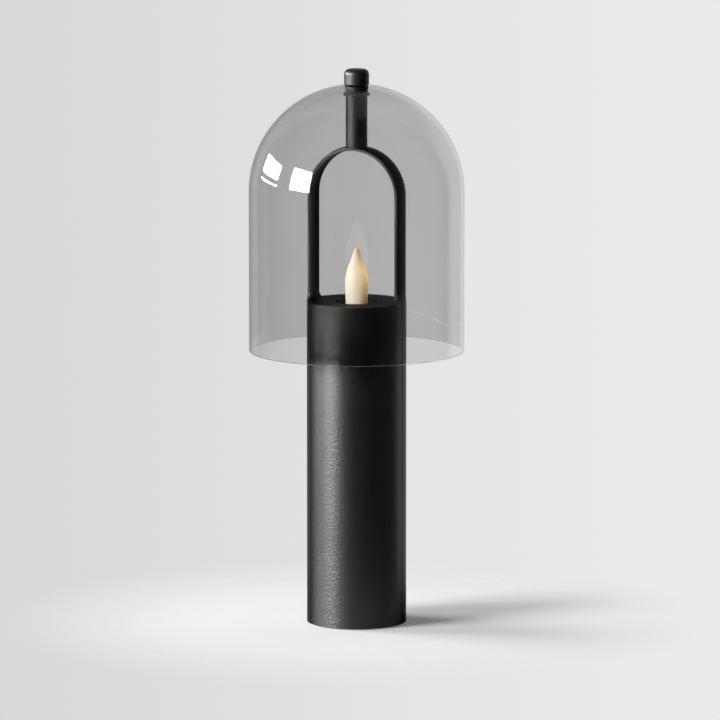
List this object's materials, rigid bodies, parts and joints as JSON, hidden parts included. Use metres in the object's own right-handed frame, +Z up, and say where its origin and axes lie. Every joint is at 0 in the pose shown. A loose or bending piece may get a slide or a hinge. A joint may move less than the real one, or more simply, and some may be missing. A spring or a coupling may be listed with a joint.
{
  "type": "candle-style table lamp",
  "caption": "Cordless table lamp: black tube whose wall rises as an arch, post and finial holding a smoked glass dome over a flame-shaped light.",
  "frame": {"origin": "on the table, at the centre of the footprint", "axes": "+Z up along the tube, legs of the arch along X, charging inlet and push button at the back, towards +Y"},
  "size_m": [0.139, 0.139, 0.3605],
  "materials": {
    "black_coat": "satin, fine-textured powder coat",
    "cover_black": "matte",
    "smoked_glass": "clear polished, grey tinted",
    "black_silicone": "matte",
    "flame_ivory": "waxy, translucent",
    "black_plastic": "moulded",
    "zinc_steel": "zinc plated",
    "spun_aluminium": "turned",
    "board_green": "solder resist",
    "board_white": "white solder resist",
    "led_yellow": "phosphor under clear resin",
    "cell_wrap": "shrink film",
    "plunger_white": "moulded",
    "lead_red": "insulation"
  },
  "bodies": {
    "root": {"body_tube": "black_coat", "yoke_arch": "black_coat", "post": "black_coat", "post_screw": "zinc_steel", "finial_stud": "zinc_steel", "cover_ledge": "zinc_steel", "top_cover": "cover_black", "flame_well": "black_plastic", "flame_diffuser": "flame_ivory", "flame_retainer": "black_plastic", "led_board": "board_white", "led_chip": "led_yellow", "light_plate": "spun_aluminium", "cover_screws": "zinc_steel", "core_plate": "zinc_steel", "battery_holder": "black_plastic", "battery_cells": "cell_wrap", "battery_lead": "lead_red", "driver_board": "board_green", "board_screws": "zinc_steel", "board_parts": "black_plastic", "charge_inlet": "zinc_steel", "inlet_tongue": "black_plastic", "switch_body": "black_plastic", "lamp_lead": "lead_red", "base_plate": "black_coat", "ballast": "zinc_steel", "base_screws": "zinc_steel", "foot_ring": "black_silicone"},
    "dome": {"glass_dome": "smoked_glass", "glass_seat": "black_silicone"},
    "washer": {"finial_washer": "black_silicone"},
    "finial": {"finial": "black_coat"},
    "button": {"push_button": "black_coat", "switch_plunger": "plunger_white"}
  },
  "joints": [
    {"name": "dome_lift", "type": "slide", "parent": "root", "child": "dome", "axis": [0, 0, 1], "range_m": [0, 0.182]},
    {"name": "finial_lift", "type": "slide", "parent": "dome", "child": "washer", "axis": [0, 0, 1], "range_m": [0, 0.0057]},
    {"name": "finial_turn", "type": "hinge", "parent": "washer", "child": "finial", "pos_m": [0, 0, 0.355], "axis": [0, 0, 1], "range_deg": [0, 1620]},
    {"name": "button_press", "type": "slide", "parent": "root", "child": "button", "axis": [0, -1, 0], "range_m": [0, 0.0008], "stiffness_N_per_m": 600, "springref_m": -0.002}
  ],
  "couplings": [
    {"joint": "finial_lift", "follows": "finial_turn", "m_per_rad": 0.00019894}
  ]
}
